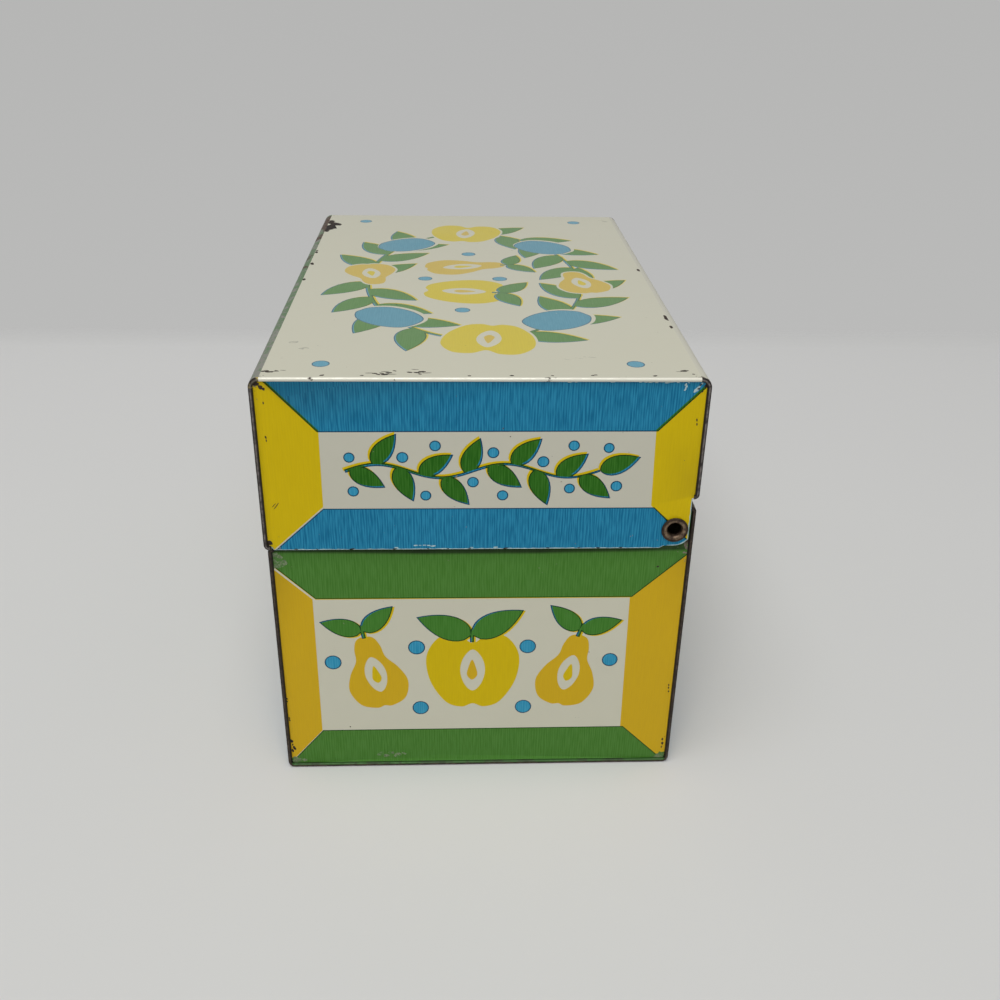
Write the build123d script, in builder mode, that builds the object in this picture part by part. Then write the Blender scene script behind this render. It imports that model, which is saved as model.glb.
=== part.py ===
from build123d import *
import os

# Recipe card box of printed tinplate, standing on its bottom.
# Millimetres. X runs along the box, Y from the front (-Y) to the hinged back (+Y), Z up.
# The origin is the middle of the bottom.

# Outside
length = 138.0          # over the lid's two end seams
depth = 89.0            # front to back, over the lid
height = 96.5           # table to lid top
parting_height = 58.6   # where the lid's front edge meets the body's
front_step = 0.5        # the lid's front wall stands this far proud of the body's

# Sheet and folded seams
sheet = 0.28            # tinplate
layer_gap = 0.03        # between the three layers of a seam
seam_rise = 0.7         # seam crest above the face of the end panel
lid_bend = 2.2          # outside radius of the lid's long top bends
body_bend = 1.5         # outside radius of the body's long bottom bends

# Curled free edges of the two wrapped sheets
lid_front_curl = 1.2
body_front_curl = 1.0
back_curl = 1.0
front_lip = 0.3         # flat run of a front curl after its quarter turn
back_lip = 0.1
edge_gap = 0.1          # between the closed lid's front curl and the body's
body_back_rise = 9.1    # the body's back wall ends this far above the parting line
back_edge_gap = 2.4     # open between the back walls, for the lid to swing
curl_relief = 0.4       # the end panels' flanges stop this far short of a curl

# Hinge
hinge_inset = 4.3       # hinge axis in from the back face
hinge_rise = 4.3        # hinge axis above the parting line
eyelet_bore = 2.9
eyelet_wall = 0.25
eyelet_head = 5.6       # diameter of the outer flange
eyelet_foot = 5.0       # diameter of the flange inside the body
head_thickness = 0.42
foot_thickness = 0.36
eyelet_chamfer = 0.15   # broken edges of the head
running_gap = 0.05      # eyelet to lid, radially and under the head
swing_gap = 0.1         # lid end panel to the body's seam crest and to the boss
boss_head = 5.7         # flat of the pressed boss in the body's tongue
boss_foot = 6.5         # boss where it leaves the tongue

# Lid end panel below its seam
panel_drop = 0.1        # lower edge hangs this far below the parting line
lobe_radius = 3.85      # round the eyelet
lobe_slope = 1.0        # length of the slope between lower edge and lobe
panel_back_gap = 0.2    # panel edge to the lip of the body's and lid's back curls
corner_cut = 1.7        # cut front corner of the panel, under the front curl

# Top of the body end panel, inside the lid
joggle_depth = 0.5
joggle_rise = 0.8
joggle_start = 1.3      # below the parting line
rim_rise = 3.9          # rim above the parting line
tongue_width = 10.1     # along Y, at the back
tongue_round = 1.5
tongue_drop = 0.3       # tongue top below the body's back edge
rim_setback = 1.0       # cut front corner of the rim, in from the body's front face

# What follows from these
seam_width = 3 * sheet + 2 * layer_gap
fold_radius = seam_width / 2
flange_offset = sheet + layer_gap
lid_reach = length / 2
lid_face = lid_reach - seam_rise
body_reach = lid_face - sheet - swing_gap
body_face = body_reach - seam_rise
lid_front = -depth / 2
body_front = lid_front + front_step
back = depth / 2
lid_front_edge = parting_height + edge_gap / 2
body_front_edge = parting_height - edge_gap / 2
body_back_edge = parting_height + body_back_rise
lid_back_edge = body_back_edge + back_edge_gap
hinge_y = back - hinge_inset
hinge_z = parting_height + hinge_rise
barrel_radius = eyelet_bore / 2 + eyelet_wall
joggle_z = parting_height - joggle_start
rim_top = parting_height + rim_rise
tongue_front = back - tongue_width
tongue_top = body_back_edge - tongue_drop
back_lip_end = back - back_curl - back_lip
hinge_line = Plane(origin=(0, hinge_y, hinge_z), x_dir=(1, 0, 0), z_dir=(0, 0, 1))


def wrap_path(front, front_edge, front_curl, level, back_edge, bend):
    """Outer face of a wrapped sheet, seen from the end: front lip, front, long wall, back, back lip."""
    with BuildLine(Plane.YZ) as path:
        FilletPolyline(
            (front + front_curl + front_lip, front_edge),
            (front, front_edge),
            (front, level),
            (back, level),
            (back, back_edge),
            (back_lip_end, back_edge),
            radius=[front_curl, bend, bend, back_curl],
        )
    return path.line


def wrap_section(plane, reach, face):
    """Sheet along the box, folded back at both ends over the flange of the end panel."""
    fold_start = reach - fold_radius
    with BuildSketch(plane) as section:
        with BuildLine():
            Polyline(
                (0, sheet),
                (reach - sheet, sheet),
                (reach - sheet, seam_width - sheet),
                (face + layer_gap, seam_width - sheet),
                (face + layer_gap, seam_width),
                (fold_start, seam_width),
            )
            ThreePointArc((fold_start, seam_width), (reach, fold_radius), (fold_start, 0))
            Line((fold_start, 0), (0, 0))
            mirror(about=Plane.YZ)
        make_face()
    return section.sketch


# Lid: front, top and back in one sheet
lid_line = wrap_path(
    lid_front, lid_front_edge, lid_front_curl, height, lid_back_edge, lid_bend
)
with BuildPart() as lid_wrap:
    add(wrap_section(Plane(lid_line @ 0, (1, 0, 0), lid_line % 0), lid_reach, lid_face))
    sweep(path=lid_line)
lid_wrap.part.label = "lid_wrap"

# Body: front, bottom and back in one sheet
body_line = wrap_path(
    body_front, body_front_edge, body_front_curl, 0, body_back_edge, body_bend
)
with BuildPart() as body_wrap:
    add(wrap_section(Plane(body_line @ 0, (-1, 0, 0), body_line % 0), body_reach, body_face))
    sweep(path=body_line)
body_wrap.part.label = "body_wrap"


# Line of each end panel's three seamed sides, set in from the outside of the box
lid_flange_front = lid_front_edge + lid_front_curl + curl_relief
lid_flange_back = lid_back_edge + back_curl + curl_relief
body_flange_front = body_front_edge - body_front_curl - curl_relief
body_flange_back = body_back_edge - back_curl - curl_relief


def lid_seam(inset):
    with BuildLine() as seam:
        FilletPolyline(
            (lid_front + inset, lid_flange_front),
            (lid_front + inset, height - inset),
            (back - inset, height - inset),
            (back - inset, lid_flange_back),
            radius=lid_bend - inset,
        )
    return seam.line


def body_seam(inset):
    with BuildLine() as seam:
        FilletPolyline(
            (body_front + inset, body_flange_front),
            (body_front + inset, inset),
            (back - inset, inset),
            (back - inset, body_flange_back),
            radius=body_bend - inset,
        )
    return seam.line


def seam_flange(plane, seam):
    """Edge of an end panel turned outwards into the seam."""
    outer, inner = seam(flange_offset), seam(flange_offset + sheet)
    with BuildSketch(plane) as flange:
        with BuildLine():
            add(outer)
            add(inner)
            Line(outer @ 0, inner @ 0)
            Line(outer @ 1, inner @ 1)
        make_face()
    return flange.sketch


# Lid end panel: flat plate, three seamed sides, and a lobe round the eyelet
panel_foot = parting_height - panel_drop
lobe_foot = hinge_z - lobe_radius
panel_back = back_lip_end - panel_back_gap
lobe_end = hinge_z - (lobe_radius**2 - (panel_back - hinge_y) ** 2) ** 0.5
with BuildPart() as lid_end_right:
    with BuildSketch(Plane.YZ.offset(lid_face - sheet)):
        with BuildLine():
            lid_edge = lid_seam(flange_offset)
            add(lid_edge)
            Polyline(lid_edge @ 1, (panel_back, lid_back_edge), (panel_back, lobe_end))
            RadiusArc((panel_back, lobe_end), (hinge_y, lobe_foot), lobe_radius)
            Polyline(
                (hinge_y, lobe_foot),
                (hinge_y - lobe_radius / 2, lobe_foot),
                (hinge_y - lobe_radius / 2 - lobe_slope, panel_foot),
                (lid_front + flange_offset + corner_cut, panel_foot),
                lid_edge @ 0,
            )
        make_face()
        with Locations((hinge_y, hinge_z)):
            Circle(barrel_radius + running_gap, mode=Mode.SUBTRACT)
    extrude(amount=sheet)
    add(seam_flange(Plane.YZ.offset(lid_face), lid_seam))
    extrude(amount=seam_rise - fold_radius, dir=(1, 0, 0))
lid_end_right.part.label = "lid_end_right"

# Body end panel: flat plate, three seamed sides, a rim inside the lid and a hinge tongue
rim_front = body_front + rim_setback
with BuildPart() as body_end_right:
    with BuildSketch(Plane.YZ.offset(body_face - sheet)) as body_plate:
        with BuildLine():
            body_edge = body_seam(flange_offset)
            add(body_edge)
            Polyline(
                body_edge @ 1,
                (panel_back, tongue_top),
                (tongue_front, tongue_top),
                (tongue_front, joggle_z),
                (rim_front, joggle_z),
                body_edge @ 0,
            )
        make_face()
        fillet(body_plate.vertices().group_by(Axis.Y)[-1].sort_by(Axis.X)[0], tongue_round)
        with Locations((hinge_y, hinge_z)):
            Circle(boss_foot / 2, mode=Mode.SUBTRACT)
    extrude(amount=sheet)
    add(seam_flange(Plane.YZ.offset(body_face), body_seam))
    extrude(amount=seam_rise - fold_radius, dir=(1, 0, 0))
    # Boss pressed outwards, so that the tongue bears on the lid round the eyelet
    with BuildSketch(hinge_line):
        with BuildLine():
            Polyline(
                (body_face, boss_foot / 2),
                (body_reach, boss_head / 2),
                (body_reach, barrel_radius),
                (body_reach - sheet, barrel_radius),
                (body_reach - sheet, (boss_head - sheet) / 2),
                (body_face - sheet, (boss_foot - sheet) / 2),
                (body_face - sheet, boss_foot / 2),
                close=True,
            )
        make_face()
    revolve(axis=Axis((0, hinge_y, hinge_z), (1, 0, 0)))
    # Rim set inwards by a joggle, its front corner cut at 45 degrees
    with BuildSketch(Plane.XZ.offset(-rim_front)):
        with BuildLine():
            Polyline(
                (body_face, joggle_z),
                (body_face - joggle_depth, joggle_z + joggle_rise),
                (body_face - joggle_depth, rim_top),
                (body_face - joggle_depth - sheet, rim_top),
                (body_face - joggle_depth - sheet, joggle_z + joggle_rise),
                (body_face - sheet, joggle_z),
                close=True,
            )
        make_face()
    extrude(amount=-(tongue_front - rim_front))
    with BuildSketch(Plane.YZ.offset(body_face - sheet - joggle_depth)):
        with BuildLine():
            Polyline(
                (rim_front, joggle_z),
                (rim_front, rim_top),
                (rim_front + rim_top - joggle_z, rim_top),
                close=True,
            )
        make_face()
    extrude(amount=sheet + joggle_depth, mode=Mode.SUBTRACT)
    # Shoulder between the rim and the tongue
    with BuildSketch(Plane.YZ.offset(body_face - sheet - joggle_depth)):
        with Locations((tongue_front, joggle_z)):
            Rectangle(sheet, rim_top - joggle_z, align=(Align.MAX, Align.MIN))
    extrude(amount=sheet + joggle_depth)
body_end_right.part.label = "body_end_right"

# Eyelet: fixed in the body's tongue, the lid turns on its barrel
head_seat = lid_face + running_gap
foot_seat = body_reach - sheet
with BuildPart() as hinge_eyelet_right:
    with BuildSketch(hinge_line) as eyelet_section:
        with BuildLine():
            Polyline(
                (foot_seat - foot_thickness, eyelet_bore / 2),
                (head_seat + head_thickness, eyelet_bore / 2),
                (head_seat + head_thickness, eyelet_head / 2),
                (head_seat, eyelet_head / 2),
                (head_seat, barrel_radius),
                (foot_seat, barrel_radius),
                (foot_seat, eyelet_foot / 2),
                (foot_seat - foot_thickness, eyelet_foot / 2),
                close=True,
            )
        make_face()
        chamfer(eyelet_section.vertices().group_by(Axis.X)[-1], eyelet_chamfer)
    revolve(axis=Axis((0, hinge_y, hinge_z), (1, 0, 0)))
hinge_eyelet_right.part.label = "hinge_eyelet_right"

os.makedirs("parts", exist_ok=True)
export_step(body_wrap.part, "parts/body_wrap.step")
export_step(lid_wrap.part, "parts/lid_wrap.step")

# The left end is the right end mirrored
for right in (body_end_right, lid_end_right, hinge_eyelet_right):
    export_step(right.part, f"parts/{right.part.label}.step")
    with BuildPart() as left:
        mirror(right.part, about=Plane.YZ)
    left.part.label = right.part.label.replace("right", "left")
    export_step(left.part, f"parts/{left.part.label}.step")
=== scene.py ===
import random
from math import copysign, cos, radians, sin, tau

import bmesh
import bpy
from mathutils import Matrix, Vector
from mathutils.geometry import delaunay_2d_cdt


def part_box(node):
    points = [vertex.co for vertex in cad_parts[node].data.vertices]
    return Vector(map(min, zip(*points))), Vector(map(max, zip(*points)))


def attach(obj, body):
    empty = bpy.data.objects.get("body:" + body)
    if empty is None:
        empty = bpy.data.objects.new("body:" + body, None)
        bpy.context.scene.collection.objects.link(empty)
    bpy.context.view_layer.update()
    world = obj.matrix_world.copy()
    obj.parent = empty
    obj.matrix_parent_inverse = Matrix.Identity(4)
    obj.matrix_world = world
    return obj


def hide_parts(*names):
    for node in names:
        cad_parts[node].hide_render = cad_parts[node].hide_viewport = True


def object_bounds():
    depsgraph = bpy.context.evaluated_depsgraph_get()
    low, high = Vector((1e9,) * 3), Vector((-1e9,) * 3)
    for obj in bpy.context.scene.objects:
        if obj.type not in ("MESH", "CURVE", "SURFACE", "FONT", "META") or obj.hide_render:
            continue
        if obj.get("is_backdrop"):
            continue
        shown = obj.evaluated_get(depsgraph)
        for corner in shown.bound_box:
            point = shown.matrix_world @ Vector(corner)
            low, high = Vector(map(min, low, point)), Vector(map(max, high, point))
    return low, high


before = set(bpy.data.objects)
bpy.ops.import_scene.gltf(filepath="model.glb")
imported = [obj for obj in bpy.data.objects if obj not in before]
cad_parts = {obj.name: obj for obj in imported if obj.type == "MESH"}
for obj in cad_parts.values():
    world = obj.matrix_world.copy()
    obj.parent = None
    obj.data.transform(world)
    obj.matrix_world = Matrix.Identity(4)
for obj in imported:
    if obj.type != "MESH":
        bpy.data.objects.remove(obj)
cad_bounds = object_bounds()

# Recipe card box of printed tinplate. Meshes are in metres, the artwork is drawn in millimetres.
MM = 0.001
X, Y, Z = range(3)

# ---- nodes


class Bench:
    """Adds nodes to a tree, with their settings and what goes into them. A kind without a family
    is a shader node."""

    def __init__(self, tree):
        self.tree = tree

    def put(self, kind, feed=None, **settings):
        made = self.tree.nodes.new(kind if "Node" in kind else "ShaderNode" + kind)
        for name, value in settings.items():
            setattr(made, name, value)
        for key, value in (feed or {}).items():
            if isinstance(value, bpy.types.NodeSocket):
                self.tree.links.new(value, made.inputs[key])
            else:
                made.inputs[key].default_value = value
        return made

    def out(self, kind, feed=None, **settings):
        return self.put(kind, feed, **settings).outputs[0]

    def geo(self, kind, feed=None, **settings):
        return self.out("GeometryNode" + kind, feed, **settings)

    def math(self, operation, *values):
        return self.out("Math", dict(enumerate(values)), operation=operation)

    def plus(self, one, other):
        return self.math("ADD", one, other)

    def minus(self, one, other):
        return self.math("SUBTRACT", one, other)

    def times(self, one, other):
        return self.math("MULTIPLY", one, other)

    def ramp(self, value, low, high, to_low=0.0, to_high=1.0):
        feed = {0: value, 1: low, 2: high, 3: to_low, 4: to_high}
        return self.out("MapRange", feed)

    def tint(self, share, low, high):
        """Mixes two colours, each a socket or three parts from 0 to 255."""
        low, high = (srgb(*c) if isinstance(c, tuple) else c for c in (low, high))
        return self.put("Mix", {0: share, 6: low, 7: high}, data_type="RGBA").outputs[2]

    def pick(self, share, low, high):
        return self.out("Mix", {0: share, 2: low, 3: high})

    def vector(self, x, y, z):
        return self.out("CombineXYZ", {0: x, 1: y, 2: z})

    def parts(self, vector):
        return self.put("SeparateXYZ", {0: vector}).outputs

    def vectors(self, operation, *values):
        return self.out("VectorMath", dict(enumerate(values)), operation=operation)

    def noise(self, vector, scale, detail=2.0, roughness=0.5):
        feed = {"Vector": vector, "Scale": scale, "Detail": detail, "Roughness": roughness}
        return self.put("TexNoise", feed).outputs["Fac"]

    def place(self):
        return self.put("TexCoord").outputs["Object"]

    def facing(self):
        return self.parts(self.put("NewGeometry").outputs["Normal"])


def new_tree(name, kind, inputs, outputs):
    """A node group with the inputs and outputs that are named with their kinds."""
    tree = bpy.data.node_groups.new(name, kind)
    for way, sockets in (("INPUT", inputs), ("OUTPUT", outputs)):
        for socket, holds in sockets.items():
            tree.interface.new_socket(socket, in_out=way, socket_type="NodeSocket" + holds)
    b = Bench(tree)
    return tree, b, b.put("NodeGroupInput").outputs


def emptied(owner):
    """The cleared bench of a material or a world."""
    owner.use_nodes = True
    owner.node_tree.nodes.clear()
    b = Bench(owner.node_tree)
    b.owner = owner
    return b


def srgb(red, green, blue):
    """A colour as a screen shows it, each part from 0 to 255."""
    shares = (part / 255 for part in (red, green, blue))
    return tuple(c / 12.92 if c < 0.04 else ((c + 0.055) / 1.055) ** 2.4 for c in shares) + (1.0,)


# ---- finishes

# Middle and half size of each printed part
BOXES = {
    "lid": (Vector((0, 0, 77.55)) * MM, Vector((69.0, 44.5, 18.95)) * MM),
    "body": (Vector((0, 0, 29.3)) * MM, Vector((67.9, 44.25, 29.3)) * MM),
}
BOXES["top"] = BOXES["lid"]
# The last of these colours is painted shade, for the gap under the lid's free edge.
CREAM, RUST, WORN_TIN, UNDER_LID_SHADE = (203, 201, 183), (58, 36, 22), (128, 122, 108), (16, 22, 10)
EDGE_REACH, CORNER_REACH = 0.42 * MM, 2.6 * MM


def rubbed_edges():
    """How far the print is rubbed off, from the distances to the nearest edge and corner."""
    inputs = {"Middle": "Vector", "Half Size": "Vector"}
    outputs = {"Wear": "Float", "Rust": "Float"}
    tree, b, given = new_tree("rubbed edges", "ShaderNodeTree", inputs, outputs)
    place = b.place()
    off = b.vectors("ABSOLUTE", b.vectors("SUBTRACT", place, given["Middle"]))
    deep = b.vectors("ABSOLUTE", b.vectors("SUBTRACT", given["Half Size"], off))
    x, y, z = b.parts(deep)
    low, high = b.math("MINIMUM", x, y), b.math("MAXIMUM", x, y)
    edge = b.math("MAXIMUM", low, b.math("MINIMUM", high, z))
    corner = b.plus(edge, b.math("MAXIMUM", high, z))
    near_edge = b.math("EXPONENT", b.times(edge, -1 / EDGE_REACH))
    near_corner = b.math("EXPONENT", b.times(corner, -1 / CORNER_REACH))
    worn = b.plus(b.times(near_edge, 0.16), b.times(near_corner, 0.42))
    worn = b.plus(worn, b.times(b.minus(b.noise(place, 170), 0.5), 0.35))
    chips = b.noise(place, 1100, detail=4, roughness=0.62)
    wear = b.ramp(b.plus(chips, worn), 0.74, 0.78)
    rust = b.ramp(b.noise(place, 420, detail=3), 0.42, 0.62)
    b.put("NodeGroupOutput", {"Wear": wear, "Rust": rust})
    return tree


RUBBED = rubbed_edges()


def new_finish(name):
    return emptied(bpy.data.materials.new(name))


def shade(b, colour, roughness, relief, strength, depth, metallic=0.0, shine=0.5):
    """The surface itself, with a relief this many millimetres deep."""
    bump = b.out("Bump", {"Height": relief, "Strength": strength, "Distance": depth * MM})
    feed = {"Base Color": colour, "Roughness": roughness, "Normal": bump}
    feed |= {"Metallic": metallic, "Specular IOR Level": shine}
    b.put("OutputMaterial", {"Surface": b.out("BsdfPrincipled", feed)})
    return b.owner


def grain(b):
    """Coordinates across and along the rollers' run, on any face of the box."""
    place = b.place()
    x, y, z = b.parts(place)
    facing = b.facing()
    on_wall = b.math("GREATER_THAN", b.math("ABSOLUTE", facing[1]), 0.5)
    on_top = b.math("GREATER_THAN", b.math("ABSOLUTE", facing[2]), 0.5)
    return place, b.pick(on_wall, y, x), b.pick(on_top, z, x)


def lines_along(b, across, along, stretch, scale, detail=1):
    return b.noise(b.vector(across, b.times(along, stretch), 0.0), scale, detail)


def painted_shade_under_lid(b, place):
    """Painted shade on the body: a dark band under the lid's free edge, where the lid stands proud, that
    hangs lower in the middle.
    """
    _, y, height = b.parts(place)
    sag = b.ramp(b.math("ABSOLUTE", y), 40 * MM, 12 * MM, 0.0, 0.55 * MM)
    low = b.ramp(b.plus(height, sag), 57.0 * MM, 57.6 * MM)
    band = b.times(low, b.ramp(height, 60.5 * MM, 58.6 * MM))
    band = b.times(band, b.ramp(y, 43.6 * MM, 43.0 * MM))
    return b.times(band, b.ramp(b.noise(place, 60), 0.3, 0.7, 0.66, 0.86))


def varnished_ink(name, part, ink, streak, streaks):
    """Printing ink under varnish: fine streaks along the rollers, pinholes that also stand in as painted
    glints, painted shade under the lid on the body, rubbed edges.
    """
    b = new_finish(name)
    place, across, along = grain(b)
    waver = lines_along(b, across, along, 0.12, 420)
    phase = b.plus(b.times(across, 12000.0), b.times(waver, 14.0))
    lines = lines_along(b, across, along, 0.09, 2600)
    streaky = b.ramp(b.plus(b.times(b.math("SINE", phase), 0.13), lines), 0.28, 0.72)
    mottled = b.ramp(b.noise(place, 55, detail=3), 0.3, 0.7)
    colour = b.tint(b.plus(b.times(streaky, streaks), b.times(mottled, 0.1)), ink, streak)
    # Pale pinholes in the ink, partly real and partly painted glints on the streaky inks.
    cells = b.put("TexVoronoi", {"Vector": place, "Scale": 420.0}).outputs
    size = b.ramp(b.parts(cells["Color"])[0], 0.68, 1.0, 0.0, 0.085)
    pinhole_glint = b.math("LESS_THAN", cells["Distance"], size)
    colour = b.tint(b.times(pinhole_glint, min(1.0, 0.75 * streaks)), colour, CREAM)
    # Painted shade on the body under the lid's free edge.
    if part == "body":
        colour = b.tint(painted_shade_under_lid(b, place), colour, UNDER_LID_SHADE)
    middle, half = BOXES[part]
    rubbed = b.put("Group", {"Middle": middle, "Half Size": half}, node_tree=RUBBED)
    wear, rust = rubbed.outputs["Wear"], rubbed.outputs["Rust"]
    colour = b.tint(wear, colour, b.tint(rust, WORN_TIN, RUST))
    relief = b.minus(b.noise(place, 38), b.times(wear, 0.02))
    relief = b.plus(relief, b.times(b.noise(place, 1500), 0.012))
    roughness = b.pick(wear, b.ramp(mottled, 0, 1, 0.3, 0.4), 0.62)
    return shade(b, colour, roughness, relief, 0.5, 0.5, shine=0.4 if part == "top" else 0.15)


def bare_tin(name, light, dark, metallic=0.85, roughness=0.38):
    """Bare or lacquered tinplate with rolling lines and stains."""
    b = new_finish(name)
    place, across, along = grain(b)
    lines = lines_along(b, across, along, 0.03, 1800, detail=3)
    stains = b.noise(place, 90, detail=4, roughness=0.65)
    share = b.plus(b.times(lines, 0.45), b.times(stains, 0.55))
    colour = b.tint(b.ramp(share, 0.36, 0.62), light, dark)
    return shade(b, colour, b.ramp(stains, 0.3, 0.7, roughness, roughness + 0.2), lines, 0.25, 0.03, metallic)


def scuffed_print(name, ink, dull, pale):
    """Corner where the print is half rubbed away: specks of ink, grey tin and pale base coat."""
    b = new_finish(name)
    place = b.place()
    fine = b.noise(place, 2300, detail=3, roughness=0.7)
    broad = b.noise(place, 700, detail=3, roughness=0.6)
    colour = b.tint(b.ramp(fine, 0.4, 0.6), dull, pale)
    colour = b.tint(b.ramp(broad, 0.48, 0.56), colour, ink)
    return shade(b, colour, b.ramp(fine, 0.3, 0.7, 0.4, 0.65), fine, 0.3, 0.04)


def worn_seam(name, paint, metal, dark, bare_from, bare_to):
    """Folded seam: paint where it is left, and a rubbed line of metal on dark tin. The line lies on the crest
    where it faces the end, partly rubbed metal and partly a painted highlight, and the dark tin around it is
    partly painted shade.
    """
    b = new_finish(name)
    place = b.place()
    rubbed = b.noise(place, 260, detail=4, roughness=0.6)
    spots = b.noise(place, 900, detail=3, roughness=0.6)
    # Painted highlight, partly rubbed metal: lighter where the crest faces the end.
    crest = b.ramp(b.math("ABSOLUTE", b.facing()[0]), 0.88, 0.98)
    crest_highlight = b.times(crest, b.ramp(spots, 0.4, 0.62, 1.0, 0.25))
    colour = b.tint(crest_highlight, dark, metal)
    colour = b.tint(b.ramp(rubbed, bare_from, bare_to), paint, colour)
    return shade(b, colour, b.ramp(spots, 0.3, 0.7, 0.34, 0.6), spots, 0.4, 0.04, 0.3, 0.4)


def worn_bend(name, paint, metal, rust):
    """Bend above the lid's front: rubbed to grey tin at its ends and rusted at the far one."""
    b = new_finish(name)
    place = b.place()
    along = b.parts(place)[0]
    spots = b.noise(place, 700, detail=4, roughness=0.65)
    patches = b.noise(place, 130, detail=3)
    ends = b.plus(b.ramp(along, 0.02, 0.066, 0.0, 0.16), b.ramp(along, -0.02, -0.06, 0.0, 0.12))
    colour = b.tint(b.ramp(b.plus(spots, ends), 0.5, 0.62), paint, metal)
    rusty = b.plus(patches, b.ramp(along, 0.012, -0.04, -0.2, 0.16))
    rusty = b.plus(rusty, b.times(b.minus(spots, 0.5), 0.3))
    colour = b.tint(b.ramp(rusty, 0.6, 0.66), colour, rust)
    return shade(b, colour, b.ramp(spots, 0.3, 0.7, 0.4, 0.65), spots, 0.5, 0.05, 0.15, 0.4)


# Each ink with the colour of its streaks and how strong they are
INKS = {
    "cream": ((196, 194, 179), (188, 186, 168), 0.0),
    "yellow": ((208, 181, 0), (200, 172, 0), 0.5),
    "ochre": ((206, 169, 24), (198, 160, 28), 0.4),
    "blue": ((4, 100, 140), (38, 134, 172), 1.0),
    "blue edge": ((4, 58, 88), (12, 76, 104), 0.5),
    "pale blue": ((36, 136, 174), (64, 154, 188), 0.9),
    "leaf": ((28, 90, 4), (54, 112, 30), 0.9),
    "leaf edge": ((8, 48, 14), (18, 64, 24), 0.5),
    "green": ((64, 115, 37), (77, 127, 53), 1.0),
    "green edge": ((26, 66, 14), (36, 80, 24), 0.5),
}
BODY_INKS = INKS | {
    "cream": (CREAM, (192, 189, 168), 0.0),
    "leaf": ((58, 116, 34), (70, 126, 48), 0.9),
    "leaf edge": ((10, 50, 16), (22, 66, 26), 0.5),
}
FADED = {
    "cream": ((200, 198, 179), (192, 190, 170), 0.0),
    "yellow": ((206, 188, 58), (198, 180, 60), 0.4),
    "ochre": ((202, 177, 82), (194, 168, 80), 0.4),
    "blue": ((84, 142, 162), (100, 156, 174), 0.6),
    "blue edge": ((44, 90, 114), (56, 104, 128), 0.4),
    "pale blue": ((88, 150, 172), (104, 162, 182), 0.6),
    "leaf": ((84, 128, 66), (100, 140, 82), 0.6),
    "leaf edge": ((48, 84, 52), (58, 94, 62), 0.4),
}
SCUFFS = {"lid": ((150, 148, 134), (184, 183, 168)), "body": ((80, 102, 64), (126, 143, 106))}
SCUFFS["top"] = SCUFFS["lid"]
# Each seam's paint, rubbed metal and dark tin, and from where to where the paint gives way. The rubbed metal
# is partly a painted highlight and the dark tin partly painted shade; the top seam's paint, whiter than the
# cream, is partly a painted highlight.
SEAMS = {
    ("lid", "corner seams"): ((168, 152, 92), (120, 112, 96), (34, 26, 20), 0.42, 0.5),
    ("lid", "top seam"): ((218, 216, 202), (104, 94, 78), (44, 32, 24), 0.62, 0.66),
    ("lid", "side seams"): ((34, 28, 26), (122, 114, 110), (30, 24, 22), 0.3, 0.45),
    ("body", "side seams"): ((38, 28, 20), (78, 64, 52), (26, 19, 14), 0.35, 0.5),
    ("body", "foot seam"): ((44, 82, 30), (70, 70, 50), (40, 58, 28), 0.5, 0.6),
}

finishes = {}
for part, inks in (("lid", INKS), ("body", BODY_INKS), ("top", FADED)):
    for ink, colours in inks.items():
        finishes[part, ink] = varnished_ink(f"{ink} ink, {part}", part, *colours)
    under = inks.get("green", inks["cream"])[0]
    finishes[part, "chip"] = bare_tin(f"rusted chip, {part}", (54, 36, 24), (24, 16, 12), 0.2, 0.6)
    finishes[part, "scuff"] = scuffed_print(f"scuffed print, {part}", under, *SCUFFS[part])
    # Pale rubbed edge, partly worn print and partly a painted highlight on edges.
    finishes[part, "rub"] = bare_tin(f"rubbed edge, {part}", (200, 224, 224), (132, 158, 160), 0.0, 0.4)
for part in ("lid", "body"):
    lacquered = bare_tin(f"lacquered tinplate, {part}", (214, 206, 180), (192, 183, 153), metallic=0.7)
    finishes[part, "inside"] = lacquered
    cut = bare_tin(f"cut edge, {part}", (120, 114, 100), (60, 52, 42), roughness=0.5)
    finishes[part, "raw edge"] = cut
for (part, seam), look in SEAMS.items():
    finishes[part, seam] = worn_seam(f"{seam}, {part}", *look)
front_bend = worn_bend("front bend, lid", (92, 120, 84), (134, 134, 126), (74, 56, 42))
finishes["lid", "front bend"] = front_bend

# ---- outlines, in millimetres


def loops_of(edges):
    """The closed loops that a bag of edges makes."""
    beside = {}
    for one, other in edges:
        beside.setdefault(one, []).append(other)
        beside.setdefault(other, []).append(one)
    loops, seen = [], set()
    for start in beside:
        if start in seen:
            continue
        loop, here = [], start
        while here is not None:
            seen.add(here)
            loop.append(here)
            here = next((v for v in beside[here] if v not in seen), None)
        loops.append(loop)
    return loops


def anticlockwise(outline):
    area = sum(a[0] * b[1] - b[0] * a[1] for a, b in zip(outline, outline[1:] + outline[:1]))
    return outline if area > 0 else outline[::-1]


def encloses(outline, x, y):
    """Whether an outline winds round a point."""
    turns = 0
    ax, ay = outline[-1]
    for bx, by in outline:
        if (ay <= y) != (by <= y):
            side = (bx - ax) * (y - ay) - (x - ax) * (by - ay)
            if ay <= y and side > 0:
                turns += 1
            elif by <= y and side < 0:
                turns -= 1
        ax, ay = bx, by
    return turns != 0


def placed(outline, at, turn=0.0, size=1.0):
    """An outline turned by degrees, resized and moved to a point."""
    c, s = size * cos(radians(turn)), size * sin(radians(turn))
    return [(at[0] + c * x - s * y, at[1] + s * x + c * y) for x, y in outline]


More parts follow.
